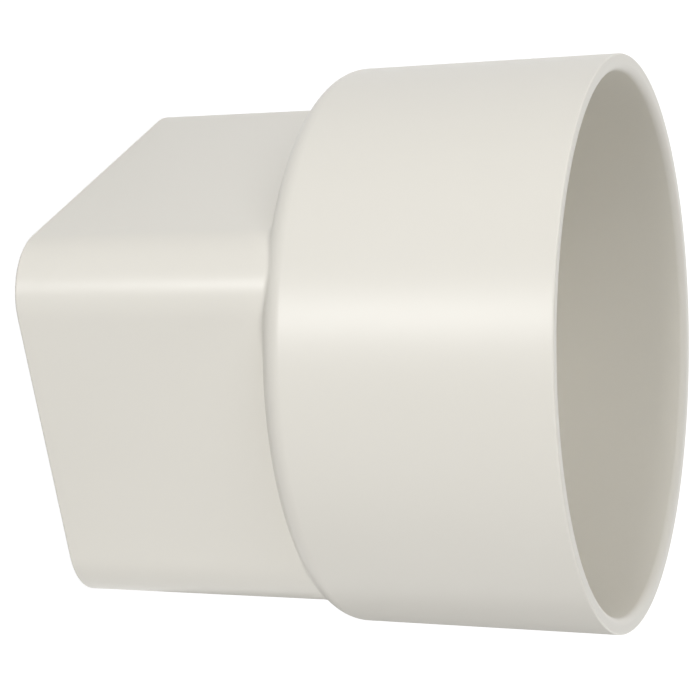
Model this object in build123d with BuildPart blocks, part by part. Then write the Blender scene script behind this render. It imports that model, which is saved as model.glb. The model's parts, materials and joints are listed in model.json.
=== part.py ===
"""Downspout adapter: a rectangular sleeve for a downspout, joined by a flat shoulder to a
round hub for a drain pipe, moulded as one thin-walled piece.

It stands on the sleeve's end, with the hub's mouth up and the common axis on Z.
"""

import os
from math import radians, sqrt, tan

from build123d import *

# Driving dimensions, in millimetres and degrees
pipe_diameter = 107.1  # outside of the drain pipe that slides into the hub
pipe_clearance = 0.25  # gap all round the pipe
socket_depth = 54.0  # from the mouth to the stop that the pipe meets
hub_wall = 3.4  # at the mouth, where it is thickest
hub_draft = 1.0  # the outside of the hub narrows from its mouth to the shoulder

downspout_length = 83.0  # outside of the downspout, along its long side
downspout_width = 70.6  # and along its short side
downspout_corner = 9.0  # radius of the downspout's corners
downspout_clearance = 0.5  # gap all round the downspout at the sleeve's end
sleeve_length = 51.2  # from the sleeve's end to the shoulder
sleeve_wall = 3.0
sleeve_draft = 0.6  # the sleeve widens from its end to the shoulder, inside and out

shoulder_thickness = 3.0  # the flat ring that closes the hub round the sleeve
shoulder_round = 3.5  # outer edge of the shoulder, where it turns into the hub
corner_inset = 1.3  # least distance from the sleeve's corners to the outside of the hub
root_fillet = 1.5  # inside corner where the sleeve leaves the shoulder
stop_edge = 0.4  # bevel where the stop turns into the passage
mouth_lead_in = 1.6  # bevel on the inner edge of the mouth, which guides the pipe in
mouth_edge = 0.4  # bevel on the outer edge of the mouth
sleeve_end_edge = 0.6  # bevels on both edges of the sleeve's end

# Hub
bore_radius = pipe_diameter / 2 + pipe_clearance
hub_length = shoulder_thickness + socket_depth
hub_mouth_radius = bore_radius + hub_wall
hub_back_radius = hub_mouth_radius - hub_length * tan(radians(hub_draft))

# Heights above the sleeve's end
stop_height = sleeve_length + shoulder_thickness
mouth_height = sleeve_length + hub_length

# Sleeve, at its end
opening_length = downspout_length + 2 * downspout_clearance
opening_width = downspout_width + 2 * downspout_clearance
sleeve_outer_length = opening_length + 2 * sleeve_wall
sleeve_outer_width = opening_width + 2 * sleeve_wall

# Corner radius that takes the sleeve's corners as far out as the hub lets them go
sleeve_flare = sleeve_length * tan(radians(sleeve_draft))
corner_reach = hub_back_radius - corner_inset
room_beside_length = corner_reach - sleeve_outer_length / 2 - sleeve_flare
room_beside_width = corner_reach - sleeve_outer_width / 2 - sleeve_flare
corner_at_hub = (
    corner_reach
    - room_beside_length
    - room_beside_width
    - sqrt(2 * room_beside_length * room_beside_width)
)

# The corners follow the downspout's own, or are rounder where the hub is too narrow for them
sleeve_corner = max(
    downspout_corner + downspout_clearance + sleeve_wall,
    corner_at_hub - sleeve_flare,
)
opening_corner = sleeve_corner - sleeve_wall

with BuildPart() as downspout_adapter:
    # Hub, solid at first, turned from its half section
    with BuildSketch(Plane.XZ) as hub_section:
        with BuildLine():
            Polyline(
                (0, sleeve_length),
                (hub_back_radius, sleeve_length),
                (hub_mouth_radius, mouth_height),
                (0, mouth_height),
                close=True,
            )
        make_face()
        back_corner = hub_section.vertices().sort_by(Axis.X)[-2]
        fillet(back_corner, radius=shoulder_round)
        mouth_corner = hub_section.vertices().sort_by(Axis.X)[-1]
        chamfer(mouth_corner, length=mouth_edge)
    revolve(axis=Axis.Z)

    # Sleeve, which runs into the hub as far as the stop
    with BuildSketch(Plane.XY):
        RectangleRounded(sleeve_outer_length, sleeve_outer_width, sleeve_corner)
    extrude(amount=stop_height, taper=-sleeve_draft)
    sleeve_root = downspout_adapter.edges(Select.NEW)
    fillet(sleeve_root, radius=root_fillet)

    # Round socket, down to the stop
    with BuildSketch(Plane.XY.offset(mouth_height)):
        Circle(bore_radius)
    extrude(amount=-socket_depth, mode=Mode.SUBTRACT)

    # Rectangular passage, which keeps the sleeve's wall even
    with BuildSketch(Plane.XY):
        RectangleRounded(opening_length, opening_width, opening_corner)
    extrude(amount=stop_height, taper=-sleeve_draft, mode=Mode.SUBTRACT)
    passage_edge = downspout_adapter.edges(Select.LAST).group_by(Axis.Z)[-1]
    chamfer(passage_edge, length=stop_edge)

    # Edges of the two ends
    mouth_edges = downspout_adapter.edges().group_by(Axis.Z)[-1].sort_by(SortBy.RADIUS)
    chamfer(mouth_edges[0], length=mouth_lead_in)
    sleeve_end_edges = downspout_adapter.edges().group_by(Axis.Z)[0]
    chamfer(sleeve_end_edges, length=sleeve_end_edge)

downspout_adapter.part.label = "downspout_adapter"

os.makedirs("parts", exist_ok=True)
export_step(downspout_adapter.part, "parts/downspout_adapter.step")
print("hub", round(2 * hub_mouth_radius, 2), "height", round(mouth_height, 2))
print("sleeve", round(sleeve_outer_length, 2), "by", round(sleeve_outer_width, 2))
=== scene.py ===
# %% [markdown]
# # A downspout adapter in off-white plastic
# A downspout adapter joins a rectangular rainwater pipe to a round drain pipe. It is moulded in one
# piece: a rectangular sleeve, a flat shoulder and a round hub with an open mouth.
# The lesson loads the measured part, lays a finer skin over it, gives the skin a moulded finish,
# and sets up the floor, the lamps and the camera of a plain product picture.

# %% Load the measured part
import json
from math import cos, pi, radians, sin, tan

import bpy
import numpy as np
from mathutils import Matrix, Vector


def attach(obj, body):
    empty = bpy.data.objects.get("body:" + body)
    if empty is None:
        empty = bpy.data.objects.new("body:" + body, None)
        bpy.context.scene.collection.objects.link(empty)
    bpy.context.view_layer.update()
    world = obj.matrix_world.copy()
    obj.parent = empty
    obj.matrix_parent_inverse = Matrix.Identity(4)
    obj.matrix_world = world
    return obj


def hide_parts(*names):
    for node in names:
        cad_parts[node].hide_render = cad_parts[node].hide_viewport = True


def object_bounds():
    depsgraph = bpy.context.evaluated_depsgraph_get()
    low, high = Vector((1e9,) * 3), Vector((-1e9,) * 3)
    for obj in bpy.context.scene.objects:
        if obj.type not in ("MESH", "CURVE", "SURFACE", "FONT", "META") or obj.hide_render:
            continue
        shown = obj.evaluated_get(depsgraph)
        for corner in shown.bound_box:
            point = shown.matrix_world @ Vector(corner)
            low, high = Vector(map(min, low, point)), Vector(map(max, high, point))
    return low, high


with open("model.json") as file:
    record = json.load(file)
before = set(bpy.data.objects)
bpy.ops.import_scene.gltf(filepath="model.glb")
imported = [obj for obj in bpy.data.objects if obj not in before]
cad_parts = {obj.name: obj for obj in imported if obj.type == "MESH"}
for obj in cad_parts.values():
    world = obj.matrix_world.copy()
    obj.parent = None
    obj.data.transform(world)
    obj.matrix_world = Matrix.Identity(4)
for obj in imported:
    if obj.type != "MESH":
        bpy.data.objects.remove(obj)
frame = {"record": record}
cad_box = [list(corner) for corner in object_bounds()]
print("part's box in metres", cad_box)

# %% [markdown]
# ## Sizes
# The part stands on the sleeve's end, with the hub's mouth up and the common axis on Z.
# The height and the socket come from the loaded part, and the other sizes are the maker's own.
# The round at the hub's back edge is a little larger than on the measured part, which gives the edge
# a softer band of shade.
# Lengths are in millimetres here, as on a drawing, and become metres when the mesh is made.

# %% Sizes of the adapter
METRES = 0.001
socket = next(m for m in frame["record"]["mounts"] if m["name"] == "hub_socket")

mouth_height = cad_box[1][2] / METRES
bore_radius = socket["dims"]["r_mm"]
socket_depth = 54.0
shoulder_thickness = 3.0
hub_wall = 3.4
hub_draft = radians(1.0)
shoulder_round = 5.0

sleeve_length = 90.0
sleeve_width = 77.6
sleeve_corner = 12.5
sleeve_wall = 3.0
sleeve_flare = tan(radians(0.6))
root_fillet = 1.5

mouth_edge_round = 0.4
lead_in_round = 1.6
stop_fillet = 0.4
stop_edge_round = 0.4
end_round = 0.6

stop_height = mouth_height - socket_depth
shoulder_height = stop_height - shoulder_thickness
mouth_radius = bore_radius + hub_wall
back_radius = mouth_radius - (mouth_height - shoulder_height) * tan(hub_draft)
print("hub", 2 * mouth_radius, "mm across, shoulder at", round(shoulder_height, 2), "mm")

# %% [markdown]
# ## Columns round the sleeve
# The skin is a grid. Its columns run up the outside, over the mouth, down the inside and back to
# where they began, and its rows go round the axis. A rounded rectangle is a smaller rectangle, its
# core, pushed outwards by the corner radius, so each column needs only a point on the core's edge
# and the direction in which that point is pushed. On a flat side the direction stays the same, and
# at a corner the point stays and the direction turns.
# Columns lie about a millimetre apart, which keeps the round hub smooth in a close picture.

# %% Core points and directions
FLAT_SPACING = 1.0
CORNER_COLUMNS = 24

core_x = sleeve_length / 2 - sleeve_corner
core_y = sleeve_width / 2 - sleeve_corner


def core_columns():
    """Points on the core's edge and outward directions, once round the sleeve."""
    points = []
    directions = []
    corners = [(core_x, -core_y), (core_x, core_y), (-core_x, core_y), (-core_x, -core_y)]
    for side, corner in enumerate(corners):
        following = corners[(side + 1) % 4]
        facing = side * pi / 2
        flat_length = abs(following[0] - corner[0]) + abs(following[1] - corner[1])
        flat_columns = round(flat_length / FLAT_SPACING)
        for step in range(flat_columns):
            share = step / flat_columns
            points.append([a + (b - a) * share for a, b in zip(corner, following)])
            directions.append((cos(facing), sin(facing)))
        for step in range(CORNER_COLUMNS):
            turn = facing + pi / 2 * step / CORNER_COLUMNS
            points.append(following)
            directions.append((cos(turn), sin(turn)))
    return np.array(points), np.array(directions)


core, outward_xy = core_columns()
column_count = len(core)
outward = np.column_stack([outward_xy, np.zeros(column_count)])
upward = np.tile([0.0, 0.0, 1.0], (column_count, 1))
print("columns", column_count)

# %% [markdown]
# ## Rows with their own normals
# Light on a moulded part shows every unevenness of the shading, above all where a small round meets
# a long straight wall. Blender could guess the normals from the faces, but here each row knows its
# exact normal, so the rows are kept as pairs of points and normals.
# A round is a row of directions that turns from one side to the other round a centre. It is convex
# where the normal points away from the centre, and concave where it points to it.

# %% Helpers for walls and rounds
LEAST_ANGLE = 1e-9

rows = []


def unit(vectors):
    return vectors / np.linalg.norm(vectors, axis=1, keepdims=True)


def lift(xy, heights):
    """Points in space from points on the plan and their heights."""
    return np.column_stack([xy, np.broadcast_to(heights, column_count)])


def turned(start, end, share):
    """Directions between start and end, turned evenly."""
    angle = np.arccos(np.clip((start * end).sum(axis=1), -1, 1))[:, None]
    angle = np.maximum(angle, LEAST_ANGLE)
    return unit((np.sin((1 - share) * angle) * start + np.sin(share * angle) * end) / np.sin(angle))


def add_wall(start, end, normals, steps):
    """Straight rows after start and up to end."""
    for step in range(1, steps + 1):
        rows.append((start + (end - start) * step / steps, normals))


def add_round(centre, radius, start, end, steps, concave=False):
    """Rows round a centre, from the direction start to the direction end."""
    for step in range(steps + 1):
        direction = turned(start, end, step / steps)
        rows.append((centre + radius * direction, -direction if concave else direction))


print("helpers ready")

# %% [markdown]
# ## The sleeve's outside
# The sleeve widens a little from its end to the shoulder, so that it leaves the mould. Its lower
# edge is slightly rounded. At the top it runs into the shoulder over a small fillet, and there the
# corners come so near to the hub's edge that the fillet meets the edge's round and not the flat.
# A ball that rolls along the inside corner gives the fillet everywhere: its centre is one radius
# away from the sleeve, and one radius under the shoulder's flat or away from its round.

# %% Sleeve and root fillet
EDGE_ROWS = 5
SLEEVE_ROWS = 16
FILLET_ROWS = 8
BALL_ROUNDS = 4


def sleeve_plan(height, inset=0.0):
    """Plan of the sleeve at a height, moved inwards by inset."""
    push = sleeve_corner + np.broadcast_to(height, column_count) * sleeve_flare - inset
    return core + push[:, None] * outward_xy


sleeve_normal = unit(outward - sleeve_flare * upward)
passage_normal = -sleeve_normal

round_centre_radius = back_radius + shoulder_round * (tan(hub_draft) - 1 / cos(hub_draft))
round_centre_height = shoulder_height + shoulder_round

reach = root_fillet + shoulder_round
ball_height = np.full(column_count, shoulder_height - root_fillet)
for _ in range(BALL_ROUNDS):
    ball_plan = sleeve_plan(ball_height, -root_fillet)
    ball_radius = np.hypot(*ball_plan.T)
    beyond_flat = np.maximum(ball_radius - round_centre_radius, 0)
    ball_height = round_centre_height - np.sqrt(reach**2 - beyond_flat**2)

ball_centre = lift(ball_plan, ball_height)
radial = unit(lift(ball_plan, 0))
to_round = radial * (-beyond_flat)[:, None] + upward * (round_centre_height - ball_height)[:, None]
ball_to_shoulder = unit(to_round)

end_centre = lift(sleeve_plan(end_round, end_round), end_round)
add_round(end_centre, end_round, -upward, outward, EDGE_ROWS)
add_wall(rows[-1][0], ball_centre - root_fillet * outward, sleeve_normal, SLEEVE_ROWS)
add_round(ball_centre, root_fillet, -outward, ball_to_shoulder, FILLET_ROWS, concave=True)
print("ball's centre lies", ball_height.min().round(2), "to", ball_height.max().round(2), "mm up")

# %% [markdown]
# ## The shoulder and the hub's outside
# The shoulder is a flat ring that turns into the hub's wall over a large round. At the middle of a
# side the flat is wide, and at the sleeve's corners nothing is left of it. Flat and round are
# therefore sampled as one path, so that no row of faces shrinks to a line.
# The hub's wall then widens gently up to the mouth.

# %% Shoulder, round and hub wall
SHOULDER_ROWS = 26
HUB_ROWS = 14

wall_normal = radial * cos(hub_draft) - upward * sin(hub_draft)
round_centre = radial * round_centre_radius + upward * round_centre_height
flat_run = np.maximum(round_centre_radius - ball_radius, 0)
round_start = -ball_to_shoulder
round_turn = np.arccos(np.clip((round_start * wall_normal).sum(axis=1), -1, 1))
path_length = flat_run + shoulder_round * round_turn
shoulder_start = ball_centre + root_fillet * ball_to_shoulder
for step in range(1, SHOULDER_ROWS + 1):
    travelled = path_length * step / SHOULDER_ROWS
    on_flat = travelled < flat_run
    share = np.clip((travelled - flat_run) / (shoulder_round * round_turn), 0, 1)[:, None]
    direction = turned(round_start, wall_normal, share)
    flat_points = shoulder_start + radial * travelled[:, None]
    round_points = round_centre + shoulder_round * direction
    points = np.where(on_flat[:, None], flat_points, round_points)
    rows.append((points, np.where(on_flat[:, None], -upward, direction)))

edge_inset = mouth_edge_round * (tan(hub_draft) + 1 / cos(hub_draft))
edge_centre = radial * (mouth_radius - edge_inset) + upward * (mouth_height - mouth_edge_round)
add_wall(rows[-1][0], edge_centre + mouth_edge_round * wall_normal, wall_normal, HUB_ROWS)
print("flat ring", flat_run.min().round(2), "to", flat_run.max().round(2), "mm wide")

# %% [markdown]
# ## The mouth and the socket
# The rim of the mouth is flat, with a crisp outer edge and a rounder inner one that leads the pipe
# in. The socket is a true cylinder down to the stop, which keeps the pipe clear of the passage.

# %% Rim, lead-in and socket
RIM_ROWS = 2
LEAD_IN_ROWS = 10
SOCKET_ROWS = 14

add_round(edge_centre, mouth_edge_round, wall_normal, upward, EDGE_ROWS)
lead_centre = radial * (bore_radius + lead_in_round) + upward * (mouth_height - lead_in_round)
add_wall(rows[-1][0], lead_centre + lead_in_round * upward, upward, RIM_ROWS)
add_round(lead_centre, lead_in_round, upward, -radial, LEAD_IN_ROWS)
fillet_centre = radial * (bore_radius - stop_fillet) + upward * (stop_height + stop_fillet)
add_wall(rows[-1][0], fillet_centre + stop_fillet * radial, -radial, SOCKET_ROWS)
add_round(fillet_centre, stop_fillet, radial, -upward, EDGE_ROWS, concave=True)
print("rim", mouth_height, "mm up, stop", round(stop_height, 2), "mm up")

# %% [markdown]
# ## The stop and the passage
# From the stop's inner edge the rectangular passage runs down to the sleeve's end, always one wall
# thickness inside the sleeve. The last row joins the first one across the end face.

# %% Stop, passage and end face
STOP_ROWS = 5

passage_top = stop_height - stop_edge_round
passage_edge = lift(sleeve_plan(passage_top, sleeve_wall - stop_edge_round), passage_top)
add_wall(rows[-1][0], passage_edge + stop_edge_round * upward, upward, STOP_ROWS)
add_round(passage_edge, stop_edge_round, upward, -outward, EDGE_ROWS)
inner_end = lift(sleeve_plan(end_round, sleeve_wall - end_round), end_round)
add_wall(rows[-1][0], inner_end - end_round * outward, passage_normal, SLEEVE_ROWS)
add_round(inner_end, end_round, -outward, -upward, EDGE_ROWS)
print("rows", len(rows))

# %% [markdown]
# ## From rows to a mesh
# Two rows that follow each other can share their points, where a wall starts at the end of a round.
# The second of such a pair is left out. What remains is one closed grid of four-sided faces, which
# stands in the place of the measured part and moves with it.

# %% Build the skin
SAME_PLACE = 1e-6


def skin(name, grid):
    """One closed mesh from rows of points and normals."""
    kept = [grid[0]]
    for row in grid[1:]:
        if np.abs(row[0] - kept[-1][0]).max() > SAME_PLACE:
            kept.append(row)
    points = np.concatenate([row[0] for row in kept]) * METRES
    normals = np.concatenate([row[1] for row in kept])
    faces = []
    for line in range(len(kept)):
        this = line * column_count
        above = (line + 1) % len(kept) * column_count
        for column in range(column_count):
            beside = (column + 1) % column_count
            faces.append((this + column, this + beside, above + beside, above + column))
    mesh = bpy.data.meshes.new(name)
    mesh.from_pydata(points.tolist(), [], faces)
    mesh.polygons.foreach_set("use_smooth", [True] * len(faces))
    mesh.normals_split_custom_set_from_vertices(normals.tolist())
    piece = bpy.data.objects.new(name, mesh)
    bpy.context.scene.collection.objects.link(piece)
    return piece


adapter = skin("adapter_skin", rows)
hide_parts("downspout_adapter")
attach(adapter, "root")
print("faces", len(adapter.data.polygons), "points", len(adapter.data.vertices))

# %% [markdown]
# ## Writing shader maths as sums
# A material is a tree of nodes. Adding each node by hand takes many lines, so a small class wraps
# one output of a node. Python's own signs then add the Math nodes, and one method adds any other
# node: it sets the node's settings first and then its sockets, which take numbers or other wires.

# %% A wire that can be added up


class Wire:
    """One output of a node tree, which can stand in a sum."""

    def __init__(self, tree, output=None):
        self.tree = tree
        self.output = output

    def node(self, kind, settings=(), inputs=(), output=0):
        made = self.tree.nodes.new(kind)
        for name, value in dict(settings).items():
            setattr(made, name, value)
        for name, value in dict(inputs).items():
            if isinstance(value, Wire):
                self.tree.links.new(value.output, made.inputs[name])
            else:
                made.inputs[name].default_value = value
        return Wire(self.tree, made.outputs[output] if len(made.outputs) else None)

    def math(self, operation, first, second):
        return self.node("ShaderNodeMath", {"operation": operation}, {0: first, 1: second})

    def __add__(self, other):
        return self.math("ADD", self, other)

    def __radd__(self, other):
        return self.math("ADD", other, self)

    def __sub__(self, other):
        return self.math("SUBTRACT", self, other)

    def __rsub__(self, other):
        return self.math("SUBTRACT", other, self)

    def __mul__(self, other):
        return self.math("MULTIPLY", self, other)

    def __rmul__(self, other):
        return self.math("MULTIPLY", other, self)

    def tint(self, low, high):
        """A colour between two colours, where this wire says how far."""
        settings = {"data_type": "RGBA"}
        return self.node("ShaderNodeMix", settings, {0: self, 6: low, 7: high}, output=2)


def node_tree(owner):
    """The empty node tree of a material or the world."""
    owner.use_nodes = True
    owner.node_tree.nodes.clear()
    return Wire(owner.node_tree)


print("shader maths ready")

# %% [markdown]
# ## Off-white moulded plastic
# The adapter is rigid vinyl, dyed off-white right through. Fresh from the mould it has a satin
# gloss: highlights are soft, but they have an edge. Three faint things keep it from looking like
# bare geometry. The colour drifts where the melt was slower to fill the mould, the gloss varies
# with it, and the skin has a very fine unevenness from the mould's own polish.
# All three come from noise in the object's own space, so nothing slides when the view changes.

# %% Plastic
MAIN_COLOUR = (0.765, 0.742, 0.682, 1)
SLOW_COLOUR = (0.735, 0.710, 0.645, 1)
DRIFT_STRETCH = (1, 1, 0.35)
DRIFT_SCALE = 24
GRAIN_SCALE = 1500
WAVE_SCALE = 70
LEAST_ROUGHNESS = 0.30
DRIFT_ROUGHNESS = 0.06
GRAIN_ROUGHNESS = 0.04
GRAIN_HEIGHT = 0.12
BUMP_STRENGTH = 0.10
BUMP_DISTANCE = 0.0002
VINYL_IOR = 1.53


def off_white_plastic():
    material = bpy.data.materials.new("off_white_satin_plastic")
    wire = node_tree(material)
    place = wire.node("ShaderNodeTexCoord", output="Object")
    stretch = {"operation": "MULTIPLY"}
    along = wire.node("ShaderNodeVectorMath", stretch, {0: place, 1: DRIFT_STRETCH})
    drift = wire.node("ShaderNodeTexNoise", (), {"Vector": along, "Scale": DRIFT_SCALE, "Detail": 3})
    grain = wire.node("ShaderNodeTexNoise", (), {"Vector": place, "Scale": GRAIN_SCALE, "Detail": 2})
    waves = wire.node("ShaderNodeTexNoise", (), {"Vector": place, "Scale": WAVE_SCALE, "Detail": 1})
    colour = drift.tint(SLOW_COLOUR, MAIN_COLOUR)
    roughness = LEAST_ROUGHNESS + DRIFT_ROUGHNESS * drift + GRAIN_ROUGHNESS * grain
    height = waves + GRAIN_HEIGHT * grain
    bump = wire.node(
        "ShaderNodeBump",
        (),
        {"Strength": BUMP_STRENGTH, "Distance": BUMP_DISTANCE, "Height": height},
    )
    shader = wire.node(
        "ShaderNodeBsdfPrincipled",
        (),
        {"Base Color": colour, "Roughness": roughness, "IOR": VINYL_IOR, "Normal": bump},
    )
    wire.node("ShaderNodeOutputMaterial", (), {"Surface": shader})
    return material


adapter.data.materials.append(off_white_plastic())
print("finish", adapter.data.materials[0].name)

# %% [markdown]
# ## Floor and surroundings
# The picture's background is white, and the adapter is lit softly. Seen by the camera and in mirror
# images, floor and surroundings are white. For the light that spreads, the floor is dark and the
# sky is brightest near the ground, as in a room with pale walls. The hub's rounded back edge faces
# the floor, so it is darker than the walls, as in the picture.
# Most of the floor's white shines by itself, and the rest is a plain surface that the adapter
# shades. With the lamps below, the two add up to white even in the shade, so no shadow shows on the
# floor. A lower SHINING_WHITE would bring it out.
# The floor doesn't stop lamp light, because some lamps reach below it.

# %% Floor and world
FLOOR_SIZE = 8.0
FLOOR_GREY = 0.18
SHINING_WHITE = 0.90
SHADED_WHITE = 0.24
SKY_LOW = 0.67
SKY_HIGH = 0.0


def seen_directly(wire):
    """1 for the camera and for mirror-like rays, 0 for the light that spreads."""
    path = wire.node("ShaderNodeLightPath", output="Is Camera Ray")
    lights = path.output.node.outputs
    shiny = Wire(wire.tree, lights["Is Glossy Ray"]) + Wire(wire.tree, lights["Is Transmission Ray"])
    return wire.node("ShaderNodeMath", {"operation": "ADD", "use_clamp": True}, {0: path, 1: shiny})


def grey(level):
    return (level, level, level, 1)


def floor_white():
    material = bpy.data.materials.new("floor_white")
    material.cycles.emission_sampling = "NONE"
    wire = node_tree(material)
    spread = wire.node("ShaderNodeBsdfDiffuse", (), {"Color": grey(FLOOR_GREY)})
    shaded = wire.node("ShaderNodeBsdfDiffuse", (), {"Color": grey(SHADED_WHITE)})
    shining = wire.node("ShaderNodeEmission", (), {"Color": grey(1), "Strength": SHINING_WHITE})
    white = wire.node("ShaderNodeAddShader", (), {0: shaded, 1: shining})
    surface = wire.node("ShaderNodeMixShader", (), {0: seen_directly(wire), 1: spread, 2: white})
    wire.node("ShaderNodeOutputMaterial", (), {"Surface": surface})
    return material


def flat_sheet(name, low, high, height, material):
    """A level sheet between two corners, which casts no shadow."""
    mesh = bpy.data.meshes.new(name)
    corners = [(low[0], low[1], height), (high[0], low[1], height)]
    corners += [(high[0], high[1], height), (low[0], high[1], height)]
    mesh.from_pydata(corners, [], [(0, 1, 2, 3)])
    mesh.materials.append(material)
    piece = bpy.data.objects.new(name, mesh)
    piece.visible_shadow = False
    bpy.context.scene.collection.objects.link(piece)
    return piece


def surroundings():
    world = bpy.data.worlds.new("surroundings")
    bpy.context.scene.world = world
    wire = node_tree(world)
    way = wire.node("ShaderNodeTexCoord", output="Generated")
    rise = wire.node("ShaderNodeSeparateXYZ", (), {0: way}, output="Z")
    above = wire.math("GREATER_THAN", rise, 0)
    sky = above * (SKY_LOW + (SKY_HIGH - SKY_LOW) * rise)
    seen = seen_directly(wire)
    strength = seen + (1 - seen) * sky
    light = wire.node("ShaderNodeBackground", (), {"Color": grey(1), "Strength": strength})
    wire.node("ShaderNodeOutputWorld", (), {"Surface": light})


half = FLOOR_SIZE / 2
flat_sheet("floor", (-half, -half), (half, half), 0, floor_white())
surroundings()
print("floor", FLOOR_SIZE, "m across, sky", SKY_LOW, "to", SKY_HIGH)

# %% [markdown]
# ## Lamps
# Soft lamps model the form. Three stand level with the adapter, round the side that the picture
# shows. They light the walls evenly and don't reach into the socket, so the socket stays darker. A
# high lamp and one overhead add a little from above, two behind the adapter light the sides that
# the picture doesn't show, and one under the sleeve stands for the light from its open end.
# The long highlight on the hub and on the sleeve's corner is the mirror image of a strip. The walls
# are upright and the camera looks down on them, so they mirror what lies below, and that is where
# the strip stands. Only mirror-like rays see the strip, and only spread light comes from the others.
# A lamp's power depends on its size, so each is given by its brightness, and the power is worked
# out from that.

# %% Lamps
LAMP_AIM = Vector((0, 0, 0.06))
LEVEL_DISTANCE = 0.9
LEVEL_SIZE = (0.5, 0.2)


def lamp(name, azimuth, elevation, distance, size, brightness, mirrored=False):
    """A flat lamp that faces the adapter, with its angles in degrees."""
    light = bpy.data.lights.new(name, "AREA")
    light.shape = "RECTANGLE"
    light.size, light.size_y = size
    light.energy = brightness * pi * size[0] * size[1]
    light.cycles.use_multiple_importance_sampling = False
    piece = bpy.data.objects.new(name, light)
    around, above = radians(azimuth), radians(elevation)
    away = Vector((cos(above) * cos(around), cos(above) * sin(around), sin(above)))
    piece.location = LAMP_AIM + distance * away
    piece.rotation_euler = away.to_track_quat("Z", "Y").to_euler()
    piece.visible_camera = False
    piece.visible_glossy = mirrored
    piece.visible_diffuse = not mirrored
    bpy.context.scene.collection.objects.link(piece)


lamp("upper_lamp", 120, 0, LEVEL_DISTANCE, LEVEL_SIZE, 12)
lamp("front_lamp", 180, 0, LEVEL_DISTANCE, LEVEL_SIZE, 4.8)
lamp("lower_lamp", 236, 0, 0.5, (0.28, 0.11), 8.5)
lamp("high_lamp", 120, 35, 0.9, (0.5, 0.5), 2.1)
lamp("back_lamp", 330, 35, 1.2, (0.8, 0.8), 2.0)
lamp("far_lamp", 335, 0, LEVEL_DISTANCE, LEVEL_SIZE, 8)
lamp("top_lamp", 0, 90, 1.0, (0.5, 0.5), 3.6)
lamp("open_end_lamp", 0, -90, 0.065, (0.07, 0.058), 1.9)
lamp("strip_lamp", 144, -19, 1.25, (0.22, 0.40), 13.5, mirrored=True)

# %% [markdown]
# ## A dark card
# In a white room the lower edges of a pale object mirror the white floor and fade into it.
# Photographers lay a dark card where those edges mirror it, just outside the picture. Here only
# mirror-like rays see the card, so it can lie close by and doesn't take light from the adapter.

# %% Card
CARD_LOW = (-0.02, -0.6)
CARD_HIGH = (0.6, -0.05)
CARD_HEIGHT = 0.001
CARD_LEVEL = 0.15


def card_grey():
    material = bpy.data.materials.new("dark_card")
    material.cycles.emission_sampling = "NONE"
    wire = node_tree(material)
    shade = wire.node("ShaderNodeEmission", (), {"Color": grey(1), "Strength": CARD_LEVEL})
    wire.node("ShaderNodeOutputMaterial", (), {"Surface": shade})
    return material


dark_card = flat_sheet("dark_card", CARD_LOW, CARD_HIGH, CARD_HEIGHT, card_grey())
dark_card.visible_camera = False
dark_card.visible_diffuse = False
print("card", CARD_LOW, "to", CARD_HIGH)

# %% [markdown]
# ## Camera
# The camera looks at the middle of the adapter from the mouth's side, a little above the floor. The
# picture shows the adapter lying down, so the camera is turned a quarter about its own axis.
# The long lens keeps the perspective flat, as in a product picture.

# %% Camera
CAMERA_AIM = Vector((-0.0005, -0.0010, 0.0495))
CAMERA_AZIMUTH = radians(154.93)
CAMERA_ELEVATION = radians(19.96)
CAMERA_DISTANCE = 0.4937
CAMERA_TURN = radians(89.97)
LENS = 123.2

towards = Vector((
    cos(CAMERA_ELEVATION) * cos(CAMERA_AZIMUTH),
    cos(CAMERA_ELEVATION) * sin(CAMERA_AZIMUTH),
    sin(CAMERA_ELEVATION),
))
view = bpy.data.cameras.new("camera")
view.lens = LENS
view.sensor_width = 36
camera = bpy.data.objects.new("camera", view)
upright = towards.to_track_quat("Z", "Y").to_matrix().to_4x4()
turn = Matrix.Rotation(CAMERA_TURN, 4, "Z")
place = Matrix.Translation(CAMERA_AIM + CAMERA_DISTANCE * towards)
camera.matrix_world = place @ upright @ turn
bpy.context.scene.collection.objects.link(camera)
bpy.context.scene.camera = camera
bpy.context.scene.view_settings.view_transform = "Standard"
print("camera at", [round(v, 4) for v in camera.matrix_world.translation])
